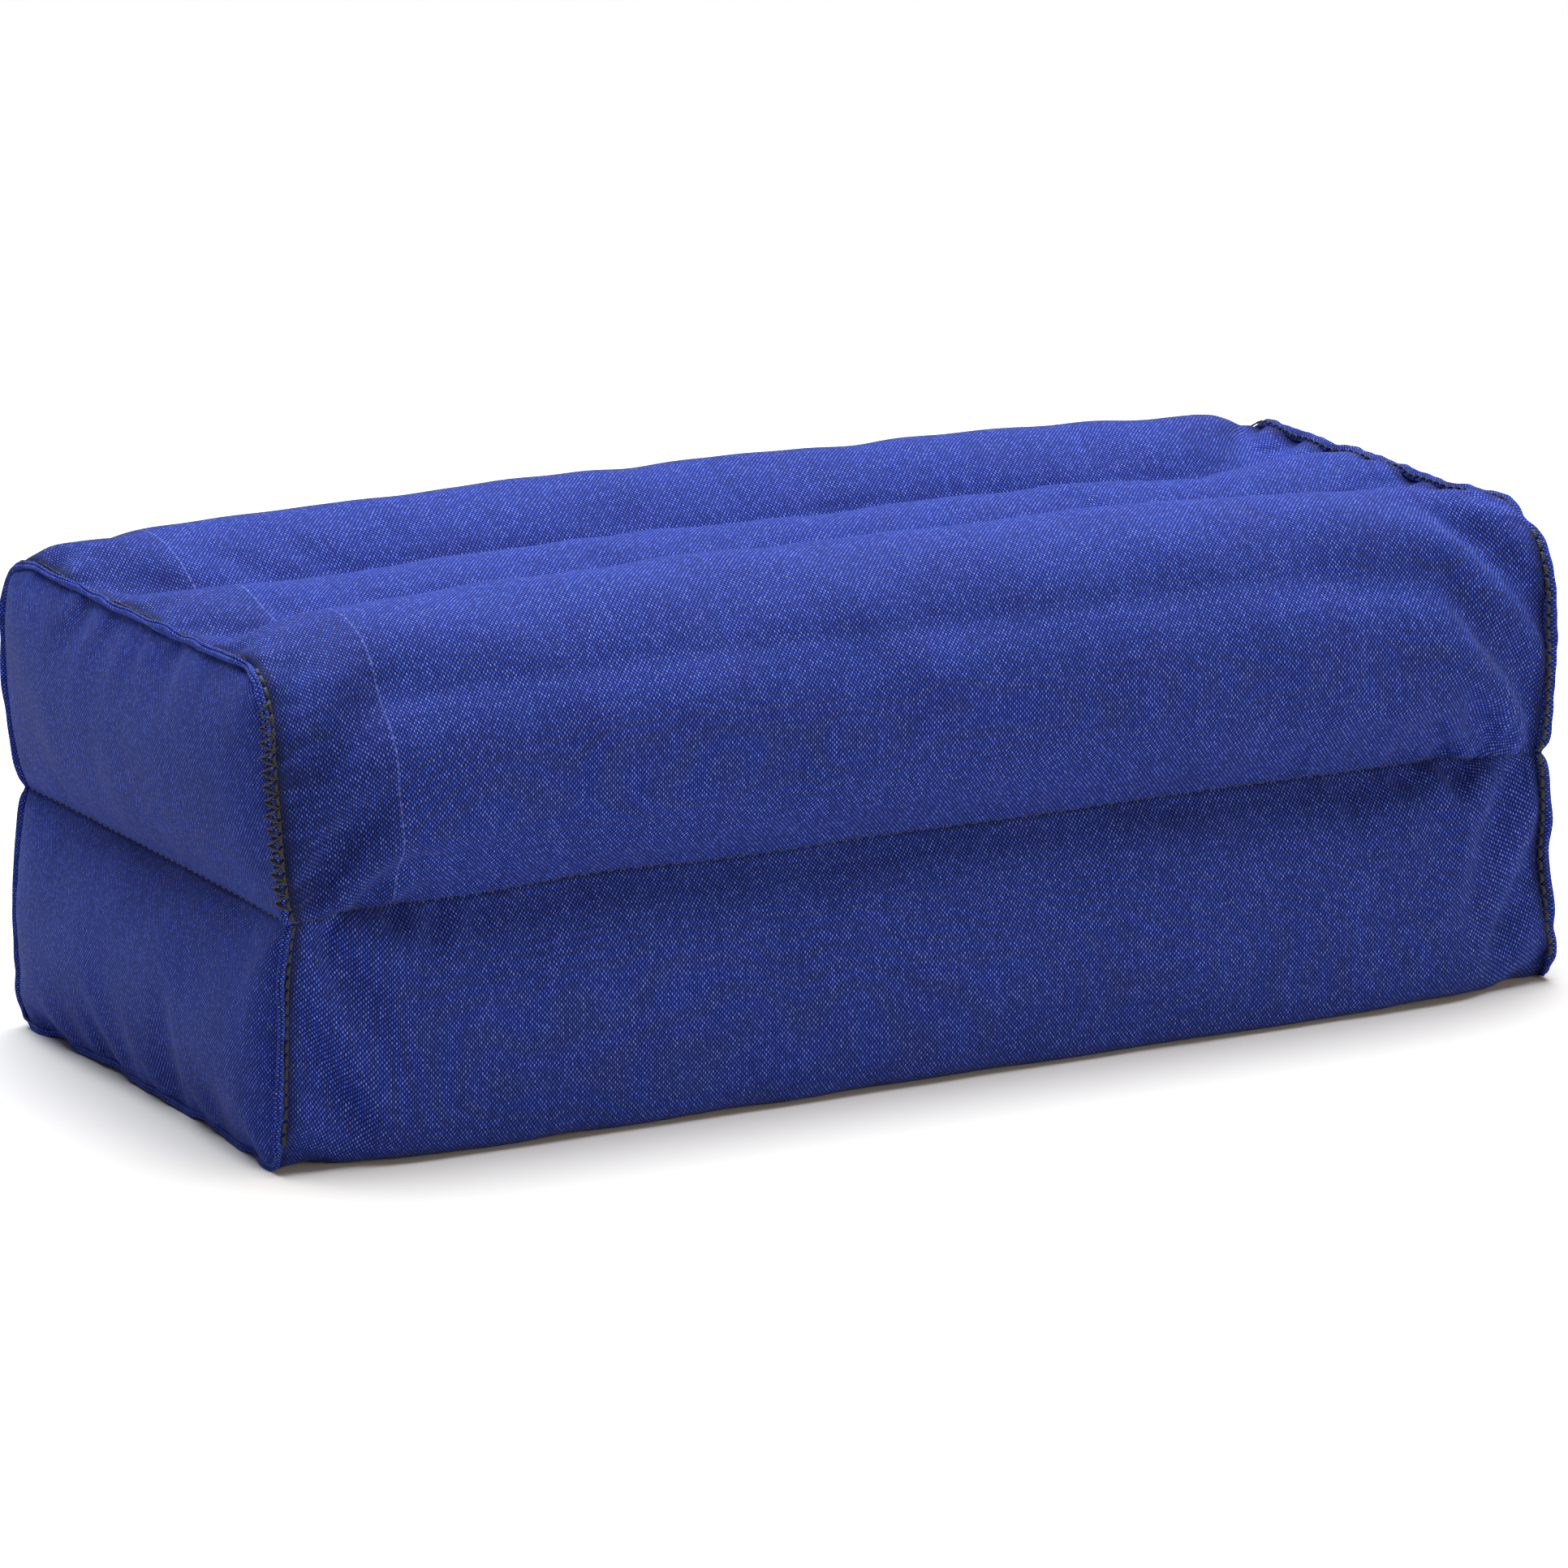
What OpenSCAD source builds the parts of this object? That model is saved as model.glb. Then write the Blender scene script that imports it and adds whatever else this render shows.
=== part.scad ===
// Block cushion in blue cotton: two layers, each of three kapok-filled channels side by side.
// +X runs along the channels, -Y is the front, +Z is up. The origin is at the centre of the base.

/* [Cushion] */
// Length over the bulged ends
body_l = 350; // [300:1:400]
// Width, front to back, at the fattest point
body_w = 174; // [160:1:200]
// Height of the crown
body_h = 124; // [110:1:140]
// Height of the waist seam, where the two layers meet
waist_z = 59; // [50:1:64]

/* [Shape] */
// Corner radius along the top of every channel
top_r = 20; // [18:1:22]
// Corner radius along the base of every channel
base_r = 12; // [10:1:14]
// Corner radius of the channels at the waist
waist_r = 9; // [8:1:10]
// Depth of the sewn valleys between the top channels
valley_depth = 11; // [6:0.5:11]
// How far each layer's end bulges past its seam
end_bulge = 7; // [5:0.5:9]
// How far the crown falls towards each end seam
crown_drop = 8; // [4:0.5:9]

/* [Cloth and thread] */
// Thickness of the cotton
cloth_t = 0.8; // [0.6:0.1:1]
// Clear space between neighbouring pieces
gap = 0.3; // [0.2:0.05:0.4]
// Height that the seam edges stand proud
edge_h = 3.5; // [2:0.5:5]
// Thickness of a seam edge: two folded edges together
edge_t = 3; // [2:0.5:4]
// Diameter of the sewing thread
thread_d = 0.7; // [0.5:0.1:0.8]

/* [Hidden] */

$fn = 64;
cloth_blue = [0.24, 0.31, 0.64];
edge_blue = [0.30, 0.40, 0.78];
thread_black = [0.06, 0.06, 0.10];
kapok_cream = [0.90, 0.86, 0.74];

LEFT = -1;
RIGHT = 1;
FRONT = -1;
BACK = 1;

// The layers stop half a cloth and a little short of the waist plane
seam_room = cloth_t / 2 + 0.1;
layer_z0 = [0, waist_z + seam_room];
layer_h = [waist_z - seam_room, body_h - waist_z - seam_room];
LOWER = 0;
UPPER = 1;

// Neighbouring channels overlap by twice this much, which sets the depth of the valley
overlap = top_r - sqrt(pow(top_r, 2) - pow(top_r - valley_depth, 2));
channel_w = (body_w - 2 * overlap) / 3;
lobe_w = channel_w + 2 * overlap;

// The wrap ends where the end panels start
wrap_x = body_l / 2 - end_bulge;
panel_x = wrap_x + 0.1;
far = 2 * body_l;

// The crown is level as far as fall_x from the middle, then follows an arc centred at crown_x
fall_x = 0.36 * body_l;
crown_x = 0.28 * body_l;
crown_r = (pow(wrap_x - crown_x, 2) - pow(fall_x - crown_x, 2)) / (2 * crown_drop);
crown_z = body_h - sqrt(pow(crown_r, 2) - pow(fall_x - crown_x, 2));

// Radius of the arc that an end panel follows from its lower edge to its upper edge
function end_r(layer) = (pow(layer_h[layer] / 2, 2) + pow(end_bulge, 2)) / (2 * end_bulge);

// Radii of a channel's lower and upper corners
function low_r(layer) = layer == LOWER ? base_r : waist_r;
function high_r(layer) = layer == LOWER ? waist_r : top_r;

// How high a groove between two channels sits inside their rounded corners
function groove_z(r, e) = sqrt(pow(r, 2) - pow(r - e, 2));

// Rounded section of one channel, centred in Y, standing on z = 0
module rounded_section(w, h, low, high) {
    translate([-w / 2, low]) square([w, h - low - high]);
    translate([low - w / 2, 0]) square([w - 2 * low, low + 0.01]);
    translate([high - w / 2, h - high - 0.01]) square([w - 2 * high, high + 0.01]);
    for (side = [FRONT, BACK]) {
        translate([side * (w / 2 - low), low]) circle(r = low);
        translate([side * (w / 2 - high), h - high]) circle(r = high);
    }
}

// One channel of a layer, drawn in by inset all round, or grown when inset is negative
module channel_section(layer, channel, inset) {
    translate([channel * channel_w, layer_z0[layer] + inset])
        rounded_section(lobe_w - 2 * inset, layer_h[layer] - 2 * inset,
                        low_r(layer) - inset, high_r(layer) - inset);
}

// All three channels of a layer side by side
module layer_section(layer, inset) {
    for (channel = [-1 : 1]) channel_section(layer, channel, inset);
}

// Runs a Y-Z section along X from x0 to x1
module along_x(x0, x1) {
    translate([x0, 0, 0]) rotate([90, 0, 90]) linear_extrude(height = x1 - x0) children();
}

// The long cylinder whose arc a layer's end follows, drawn in by inset
module end_arc(layer, side, inset) {
    r = end_r(layer) - inset;
    x = side * (body_l / 2 - end_r(layer));
    translate([x, 0, layer_z0[layer] + layer_h[layer] / 2])
        rotate([90, 0, 0]) cylinder(r = r, h = far, center = true, $fn = 128);
}

// Everything under the crown line, drawn in by inset
module under_crown(inset) {
    translate([-fall_x, -far / 2, -far / 2]) cube([2 * fall_x, far, far]);
    for (side = [LEFT, RIGHT])
        translate([side * crown_x, 0, crown_z])
            rotate([90, 0, 0]) cylinder(r = crown_r - inset, h = far, center = true, $fn = 256);
}

// A layer's section run from x0 to x1 under the crown line, drawn in by inset
module layer_block(layer, x0, x1, inset) {
    intersection() {
        along_x(x0, x1) layer_section(layer, inset);
        under_crown(inset);
    }
}

// Space along a layer's waist side, between its rounded front and back corners
module mouth(layer) {
    z0 = layer == UPPER ? waist_z : waist_z - waist_r;
    w = body_w - 2 * waist_r;
    translate([-body_l, -w / 2, z0]) cube([2 * body_l, w, waist_r]);
}

// Cotton round the front, crown or base, and back of one layer, open at the waist and ends
module wrap(layer) {
    difference() {
        layer_block(layer, -wrap_x, wrap_x, 0);
        layer_block(layer, -wrap_x - 1, wrap_x + 1, cloth_t);
        mouth(layer);
    }
}

// Panel that closes one end of one layer
module end_panel(layer, side) {
    x0 = side == RIGHT ? panel_x : -body_l / 2 - 1;
    intersection() {
        layer_block(layer, x0, x0 + body_l / 2 + 1 - panel_x, 0);
        difference() {
            end_arc(layer, side, 0);
            end_arc(layer, side, cloth_t);
        }
    }
}

// Cotton between the two layers
module divider_sheet() {
    sheet_w = body_w - 2 * waist_r;
    translate([-wrap_x, -sheet_w / 2, waist_z - cloth_t / 2]) cube([2 * wrap_x, sheet_w, cloth_t]);
}

// Upright sheet between two channels of a layer, just short of both grooves
module baffle(layer, side) {
    inner_overlap = overlap - cloth_t;
    z0 = layer_z0[layer] + low_r(layer) - groove_z(low_r(layer) - cloth_t, inner_overlap) + gap;
    z1 = layer_z0[layer] + layer_h[layer] - high_r(layer)
         + groove_z(high_r(layer) - cloth_t, inner_overlap) - gap;
    translate([-wrap_x + gap, side * channel_w / 2 - cloth_t / 2, z0])
        cube([2 * (wrap_x - gap), cloth_t, z1 - z0]);
}

// Kapok in one channel, its ends following the end panels
module fill(layer, channel) {
    inset = cloth_t + gap;
    half = channel_w / 2 - cloth_t / 2 - gap;
    y0 = channel == FRONT ? -body_w / 2 : channel * channel_w - half;
    y1 = channel == BACK ? body_w / 2 : channel * channel_w + half;
    intersection() {
        along_x(-body_l / 2, body_l / 2) intersection() {
            channel_section(layer, channel, inset);
            translate([y0, 0]) square([y1 - y0, body_h]);
        }
        union() {
            cube([2 * (wrap_x - end_bulge), far, far], center = true);
            for (side = [LEFT, RIGHT]) end_arc(layer, side, inset);
        }
        under_crown(inset);
    }
}

// Arch that stands on a layer's outline from inset0 out to inset1: over the upper layer, and up
// both sides of the lower layer, clear of the base
module outline_ring(layer, x, width, inset0, inset1) {
    z0 = layer == LOWER ? low_r(LOWER) : layer_z0[UPPER];
    z1 = layer == LOWER ? layer_h[LOWER] : body_h + 2 * edge_h;
    intersection() {
        difference() {
            layer_block(layer, x - width / 2, x + width / 2, inset1);
            layer_block(layer, x - width, x + width, inset0);
            mouth(layer);
        }
        translate([x - width, -body_w, z0]) cube([2 * width, 2 * body_w, z1 - z0]);
    }
}

// Seam edge standing round one end of one layer
module seam_edge(layer, side) {
    outline_ring(layer, side * wrap_x, edge_t, -0.15, -edge_h);
}

// Seam edge that lies flat on the base along the lower end, pointing away from the cushion
module base_edge(side) {
    depth = edge_h - 0.5;
    inner_x = wrap_x + edge_t / 2;
    edge_w = body_w - 4 * base_r;
    translate([side * (inner_x + depth / 2), 0, edge_t / 4 + 0.2])
        cube([depth, edge_w, edge_t / 2], center = true);
}

// Round thread lying along X or along Y
module thread_x(y, z, half) {
    translate([0, y, z]) rotate([0, 90, 0]) cylinder(d = thread_d, h = 2 * half, center = true, $fn = 16);
}

module thread_y(x, z, half) {
    translate([x, 0, z]) rotate([90, 0, 0]) cylinder(d = thread_d, h = 2 * half, center = true, $fn = 16);
}

// Threads that sew the wrap to its two baffles, in the grooves between the channels
module channel_threads(layer) {
    r = layer == UPPER ? top_r : base_r;
    groove = r - groove_z(r, overlap);
    rise = thread_d + 0.1;
    z = layer == UPPER ? body_h - groove + rise : groove - rise;
    for (side = [FRONT, BACK]) thread_x(side * channel_w / 2, z, wrap_x - 8);
}

// Threads round the waist seam: front, back and both ends
module waist_threads() {
    notch = 2.4;
    for (side = [FRONT, BACK]) thread_x(side * (body_w / 2 - waist_r + notch), waist_z, wrap_x - 4);
    for (side = [LEFT, RIGHT]) thread_y(side * (wrap_x + notch), waist_z, body_w / 2 - waist_r);
}

// Thread line that closes an end, on the wrap just inside the seam edge, both layers
module end_threads(side) {
    x = side * (wrap_x - edge_t / 2 - thread_d);
    for (layer = [LOWER, UPPER]) outline_ring(layer, x, thread_d, -0.1, -thread_d);
}

// Slanted hand stitches that closed the last opening, over the front left edge of the top layer
module closing_threads() {
    count = 8;
    pitch = 3.6;
    slant = 28;
    x = -wrap_x - edge_t / 2 - thread_d / 2 - 0.15;
    y = -body_w / 2 - edge_h / 2;
    first_z = layer_z0[UPPER] + waist_r + pitch;
    for (i = [0 : count - 1])
        translate([x, y, first_z + i * pitch]) rotate([90 + (i % 2 == 0 ? slant : -slant), 0, 0])
            cylinder(d = thread_d, h = edge_h - 0.4, center = true, $fn = 16);
}

module upper_wrap() { color(cloth_blue) wrap(UPPER); }
module lower_wrap() { color(cloth_blue) wrap(LOWER); }
module upper_left_end() { color(cloth_blue) end_panel(UPPER, LEFT); }
module upper_right_end() { color(cloth_blue) end_panel(UPPER, RIGHT); }
module lower_left_end() { color(cloth_blue) end_panel(LOWER, LEFT); }
module lower_right_end() { color(cloth_blue) end_panel(LOWER, RIGHT); }
module waist_sheet() { color(cloth_blue) divider_sheet(); }
module upper_front_baffle() { color(cloth_blue) baffle(UPPER, FRONT); }
module upper_back_baffle() { color(cloth_blue) baffle(UPPER, BACK); }
module lower_front_baffle() { color(cloth_blue) baffle(LOWER, FRONT); }
module lower_back_baffle() { color(cloth_blue) baffle(LOWER, BACK); }
module upper_front_fill() { color(kapok_cream) fill(UPPER, FRONT); }
module upper_middle_fill() { color(kapok_cream) fill(UPPER, 0); }
module upper_back_fill() { color(kapok_cream) fill(UPPER, BACK); }
module lower_front_fill() { color(kapok_cream) fill(LOWER, FRONT); }
module lower_middle_fill() { color(kapok_cream) fill(LOWER, 0); }
module lower_back_fill() { color(kapok_cream) fill(LOWER, BACK); }
module upper_left_seam_edge() { color(edge_blue) seam_edge(UPPER, LEFT); }
module upper_right_seam_edge() { color(edge_blue) seam_edge(UPPER, RIGHT); }
module lower_left_seam_edge() {
    color(edge_blue) {
        seam_edge(LOWER, LEFT);
        base_edge(LEFT);
    }
}
module lower_right_seam_edge() {
    color(edge_blue) {
        seam_edge(LOWER, RIGHT);
        base_edge(RIGHT);
    }
}
module upper_channel_stitches() { color(thread_black) channel_threads(UPPER); }
module lower_channel_stitches() { color(thread_black) channel_threads(LOWER); }
module waist_stitches() { color(thread_black) waist_threads(); }
module left_end_stitches() { color(thread_black) end_threads(LEFT); }
module right_end_stitches() { color(thread_black) end_threads(RIGHT); }
module closing_stitches() { color(thread_black) closing_threads(); }

upper_wrap();
lower_wrap();
upper_left_end();
upper_right_end();
lower_left_end();
lower_right_end();
waist_sheet();
upper_front_baffle();
upper_back_baffle();
lower_front_baffle();
lower_back_baffle();
upper_front_fill();
upper_middle_fill();
upper_back_fill();
lower_front_fill();
lower_middle_fill();
lower_back_fill();
upper_left_seam_edge();
upper_right_seam_edge();
lower_left_seam_edge();
lower_right_seam_edge();
upper_channel_stitches();
lower_channel_stitches();
waist_stitches();
left_end_stitches();
right_end_stitches();
closing_stitches();
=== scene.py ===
"""Block cushion: two layers of three kapok-filled channels in royal-blue plain-weave cotton.

The cotton is cut flat, sewn along shared edges and inflated by a small cloth simulation. Its shape
is then refined, given puckers along the seams, and dressed with seam edges, threads and filling.
"""

import math

import bpy
import numpy as np
from mathutils import Matrix, Vector


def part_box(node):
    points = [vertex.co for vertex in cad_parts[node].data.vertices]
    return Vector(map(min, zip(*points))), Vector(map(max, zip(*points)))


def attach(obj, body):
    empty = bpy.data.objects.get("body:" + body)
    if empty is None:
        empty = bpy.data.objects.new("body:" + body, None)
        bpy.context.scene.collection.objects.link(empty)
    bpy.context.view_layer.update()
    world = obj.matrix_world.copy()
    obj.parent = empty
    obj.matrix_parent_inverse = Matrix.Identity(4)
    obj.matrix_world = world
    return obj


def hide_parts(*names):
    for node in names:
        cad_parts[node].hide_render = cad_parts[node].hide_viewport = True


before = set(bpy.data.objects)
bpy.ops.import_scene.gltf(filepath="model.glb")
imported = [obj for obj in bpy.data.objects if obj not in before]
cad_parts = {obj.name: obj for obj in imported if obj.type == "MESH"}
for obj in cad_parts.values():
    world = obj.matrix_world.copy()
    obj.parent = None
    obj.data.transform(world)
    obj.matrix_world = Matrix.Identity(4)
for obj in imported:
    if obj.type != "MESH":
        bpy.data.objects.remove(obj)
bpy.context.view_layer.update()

MM = 0.001
UP, DOWN = 1, -1
LAYERS = {UP: "upper", DOWN: "lower"}
SIDES = {-1: "left", 1: "right"}
CHANNELS = ("front", "middle", "back")
SEED = 7

# ---------- Sizes, from the frame ----------
SEAM_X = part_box("upper_wrap")[1].x                      # the end seams
WAIST_Z = sum(v.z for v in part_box("waist_sheet")) / 2   # the seam between the layers
TOP_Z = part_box("upper_left_end")[1].z + 1.4 * MM        # the top end seams, before rounding
HALF_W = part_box("upper_wrap")[1].y - 8 * MM             # the corners, less the bulge of the walls
BULGE_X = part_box("upper_right_end")[1].x + 5 * MM       # the farthest that cloth may bulge
BULGE_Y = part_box("upper_wrap")[1].y + 5 * MM
CLOTH_T = 0.7 * MM

# ---------- How the cloth is cut ----------
COLS, CHANNEL, ROWS = 108, 14, 14       # cells along X, over one channel, and up one layer
ACROSS = 3 * CHANNEL
BAFFLE_START = 6                        # columns left open between a baffle and the end panel
CROWDING = 0.22                         # how much closer the columns are near the ends
CORNER_R = {UP: (16 * MM, 25 * MM), DOWN: (9 * MM, 9 * MM)}    # at the left end and at the right
WALL_H = 60.5 * MM                      # waist to far edge, before the corner is rounded
# the cloth over each channel, front to back, and the height of the baffles
ARCS = {UP: (65.2 * MM, 53.8 * MM, 62 * MM), DOWN: (62.5 * MM, 57.5 * MM, 62.5 * MM)}
BAFFLE_H = {UP: 50.5 * MM, DOWN: 58 * MM}
TAPER = 28 * MM                         # over this length the arches narrow to meet the end panel
END_EASE = 1.03                         # how much wider the wrap is than the edge it is sewn to
PANEL_EASE = 0.998                      # how much wider an end panel is cut than its place
WRAP_EASE = 1.006                       # how much longer a wrap is than the cushion
SHEET_W = 150 * MM                      # the sheet at the waist, narrower than the layers
STITCH_PULL = 0.972                     # a stitched line is this much shorter than its cloth

# ---------- Small sizes ----------
SKIN = 0.05 * MM                        # how far the lowest cloth stays above the floor
FINE = 3                                # fine cells for each cell of the simulation
FILL_INSET = 1.8 * MM                   # how far the fill stays inside the settled cloth
LIP_W, LIP_H, LIP_SUNK = 1.7 * MM, 1.9 * MM, 1.0 * MM       # the folded seam edges


def smooth(t):
    """0 to 1 with a soft start and end; t is clipped."""
    t = np.clip(t, 0, 1)
    return t * t * (3 - 2 * t)


def waves(rng, u, v, lengths, count=10):
    """Smooth noise of about -1 to 1 over two coordinates, with waves of these lengths."""
    out = np.zeros(np.broadcast(u, v).shape)
    for _ in range(count):
        k = 2 * np.pi / rng.uniform(*lengths)
        turn, phase = rng.uniform(0, np.pi), rng.uniform(0, 2 * np.pi)
        out += np.sin(k * (np.cos(turn) * u + np.sin(turn) * v) + phase)
    return out / np.sqrt(count / 2) / 1.6


def stations():
    """The X of each column."""
    s = np.linspace(-1, 1, COLS + 1)
    return SEAM_X * (s * (1 + CROWDING) - CROWDING * s ** 3)


def lattice():
    """Point numbers by column, cell across and row; -1 where there is no cloth."""
    index = -np.ones((COLS + 1, ACROSS + 1, 2 * ROWS + 1), int)
    used = np.zeros(index.shape, bool)
    used[[0, COLS]] = used[:, [0, ACROSS]] = used[:, :, [0, ROWS, 2 * ROWS]] = True
    for a in (CHANNEL, 2 * CHANNEL):
        used[BAFFLE_START:COLS + 1 - BAFFLE_START, a] = True
    index[used] = np.arange(used.sum())
    return index


def walls_of(index, side):
    """The half of the lattice that is one layer, its rows counted from the waist."""
    return index[:, :, ROWS:] if side == UP else index[:, :, ROWS::-1]


def wrap_of(index, side):
    """One layer's wrap as a grid: front wall, crown, back wall."""
    w = walls_of(index, side)
    return np.concatenate([w[:, 0, :], w[:, 1:, -1], w[:, ACROSS, -2::-1]], 1)


def panel(width, height, radius):
    """A flat end panel, by cell across and row from the waist: the two far corners are round."""
    straight = height - radius
    side = straight + radius * np.pi / 4
    top = width - 2 * radius + radius * np.pi / 2

    def outline(run):
        turn = np.clip((run - straight) / radius, 0, np.pi / 2)
        up = np.minimum(run, straight) + radius * np.sin(turn)
        over = radius * (1 - np.cos(turn)) + np.maximum(run - straight - radius * np.pi / 2, 0)
        return np.stack([over - width / 2, up], -1)

    near_side = outline(np.linspace(0, side, ROWS + 1))
    half = outline(side + np.linspace(0, top / 2, ACROSS // 2 + 1))
    far = np.concatenate([half, (half * (-1, 1))[-2::-1]])
    waist = np.stack([np.linspace(-width / 2, width / 2, ACROSS + 1), np.zeros(ACROSS + 1)], -1)
    u = np.linspace(0, 1, ACROSS + 1)[:, None, None]
    v = np.linspace(0, 1, ROWS + 1)[None, :, None]
    flat = (1 - v) * waist[:, None] + v * far[:, None]
    flat += (1 - u) * near_side[None] + u * (near_side * (-1, 1))[None]
    flat -= (1 - u) * ((1 - v) * waist[0] + v * far[0]) + u * ((1 - v) * waist[-1] + v * far[-1])
    return flat


def corner_radius(side, x):
    """The round of a layer's far corners, by X."""
    left, right = CORNER_R[side]
    return left + (right - left) * (x / SEAM_X + 1) / 2


def wrap_cut(side):
    """Where each point of a wrap lies on the flat cloth, as (along, around) in metres."""
    x = stations()
    near = smooth((SEAM_X - np.abs(x)) / TAPER)
    r = corner_radius(side, x)
    wall = WALL_H - r + r * np.pi / 4
    end = (2 * HALF_W - 2 * r + r * np.pi / 2) / 3 * END_EASE
    cells = np.repeat((wall / ROWS)[:, None], 2 * ROWS + ACROSS, 1)
    for n, arc in enumerate(ARCS[side]):
        k = ROWS + n * CHANNEL
        cells[:, k:k + CHANNEL] = ((end + (arc - end) * near) / CHANNEL)[:, None]
    around = np.concatenate([np.zeros((COLS + 1, 1)), np.cumsum(cells, 1)], 1)
    around -= around[:, -1:] / 2
    along = np.broadcast_to((x * WRAP_EASE)[:, None], around.shape)
    return np.stack([along, around], -1)


def sewn_shape(index):
    """Where the cloth starts, where packing and folded seams guide it to, and how firmly."""
    x = stations()
    inner = smooth((SEAM_X - np.abs(x)) / (35 * MM))[:, None]     # 0 at the end seams
    level = (np.arange(2 * ROWS + 1) - ROWS) / ROWS
    across = np.linspace(-1, 1, ACROSS + 1)
    target = np.zeros(index.shape + (3,))
    target[..., 0] = x[:, None, None]
    for place in (-SEAM_X, SEAM_X):
        upper = panel(2 * HALF_W, TOP_Z - WAIST_Z, corner_radius(UP, place))
        lower = panel(2 * HALF_W - 4 * MM, WAIST_Z - 1 * MM, corner_radius(DOWN, place)) * (1, -1)
        section = np.concatenate([lower[:, :0:-1], upper], 1) + (0, WAIST_Z)
        target[..., 1:] += section * ((1 + x / place) / 2)[:, None, None, None]
    # the waist is drawn in, and runs a little lower towards the right
    waist = np.exp(-(level / 0.12) ** 2)
    target[..., 1] -= 5 * MM * waist * (inner * across)[..., None]
    tilt = 1.2 * MM - 3 * MM * smooth((x - 20 * MM) / (140 * MM))
    target[..., 2] += tilt[:, None, None] * waist
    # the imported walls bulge, and rest on the floor with little of their edge lifted
    height = np.abs(level)
    belly = np.where(level > 0, np.sin(np.pi * 0.85 * height), np.sin(np.pi * 0.62 * height) ** 0.6)
    for a, sign in ((0, -1), (ACROSS, 1)):
        target[:, a, :, 1] += sign * 9 * MM * inner * belly
        target[:, a, 0, 2] -= 2 * MM * inner[:, 0]
    pinch = 7 * MM * (1 - across ** 6)[:, None] * waist
    # the end seams bow outwards, most at the back
    bow = np.abs(np.sin(np.pi * level))
    swell = (3.2 + 1.6 * across)[:, None] * MM * bow
    arch = np.abs(np.sin(np.pi * np.arange(ACROSS + 1) / CHANNEL))
    bulge = np.sin(np.pi * np.abs(level)) ** 0.7
    dome = np.cos(np.pi / 2 * across)[:, None] ** 0.4 * bulge
    for end, sign in ((0, -1), (COLS, 1)):
        target[end, :, :, 0] += sign * (swell - pinch)
        target[end, ACROSS, :, 1] += 2.5 * MM * bow
    start = target.copy()
    for end, sign in ((0, -1), (COLS, 1)):
        start[end, :, :, 0] += sign * 6 * MM * dome
    start[:, :, -1, 2] += (14 * arch - 8) * MM * inner
    start[:, :, 0, 2] -= 2 * MM * arch * inner
    hold = np.zeros(index.shape + (3,))
    for end in (0, COLS):
        hold[end, [0, ACROSS], :] = (0.03, 0.02, 0.015)
        hold[end, :, [0, 2 * ROWS]] = (0.03, 0.01, 0.05)
        hold[end, :, ROWS] = (0.02, 0.01, 0.03)
        hold[end, [0, ACROSS], ROWS] = (0.04, 0.04, 0.04)
    hold[1:COLS, [0, ACROSS], :] = (0, 0.006, 0)
    hold[1:COLS, [0, ACROSS], ROWS + 1:ROWS + 5] = (0, 0.014, 0.012)
    hold[1:COLS, [0, ACROSS], :2] = (0, 0.06, 0.09)
    hold[1:COLS, [0, ACROSS], ROWS] = (0, 0.02, 0.03)
    hold[1:COLS, 1:-1, ROWS] = (0, 0.01, 0.02)
    used = index >= 0
    return start[used], target[used], hold[used]


class Threads:
    """Rest lengths between points. The first rule given for a pair holds, so seams come first."""

    def __init__(self):
        self.rows = []

    def tie(self, p, q, rest, ease, give):
        """ease softens a tie; give is how much of its stiffness it keeps when pressed together."""
        p, q, rest = p.ravel(), q.ravel(), np.broadcast_to(rest, p.shape).ravel()
        self.rows.append(np.stack([p, q, rest, np.full(len(p), ease), np.full(len(p), give)], 1))

    def seam(self, line, rest):
        run = np.concatenate([[0], np.cumsum(np.broadcast_to(rest, len(line) - 1))])
        for skip, ease, give in ((1, 0, 0.6), (2, 1, 1), (4, 1, 1)):
            self.tie(line[:-skip], line[skip:], run[skip:] - run[:-skip], ease, give)

    def sheet(self, grid, cut, shear=6, bend=3):
        """A grid of points, and where each lies on the flat cut cloth."""
        cut = np.broadcast_to(cut, grid.shape + (2,))
        s = np.s_
        for p, q, ease, give in (
            (s[:-1, :], s[1:, :], 0, 0.25), (s[:, :-1], s[:, 1:], 0, 0.25),
            (s[:-1, :-1], s[1:, 1:], shear, 1), (s[:-1, 1:], s[1:, :-1], shear, 1),
            (s[:-2, :], s[2:, :], bend, 1), (s[:, :-2], s[:, 2:], bend, 1),
        ):
            length = np.sqrt(((cut[p] - cut[q]) ** 2).sum(-1))
            self.tie(grid[p], grid[q], length.reshape(grid[p].shape), ease, give)

    def groups(self, count):
        """The ties in groups that share no point, so that a group can be moved all at once."""
        rows = np.concatenate(self.rows)
        pair = np.minimum(rows[:, 0], rows[:, 1]) * count + np.maximum(rows[:, 0], rows[:, 1])
        rows = rows[np.sort(np.unique(pair, return_index=True)[1])]
        taken = [0] * count
        group = np.empty(len(rows), int)
        for n, (p, q) in enumerate(rows[:, :2].astype(int).tolist()):
            free = ~(taken[p] | taken[q])
            bit = free & -free
            taken[p] |= bit
            taken[q] |= bit
            group[n] = bit.bit_length()
        for g in range(1, group.max() + 1):
            r = rows[group == g]
            yield r[:, 0].astype(int), r[:, 1].astype(int), r[:, 2], 1 / (2 + r[:, 3]), r[:, 4]


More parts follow.
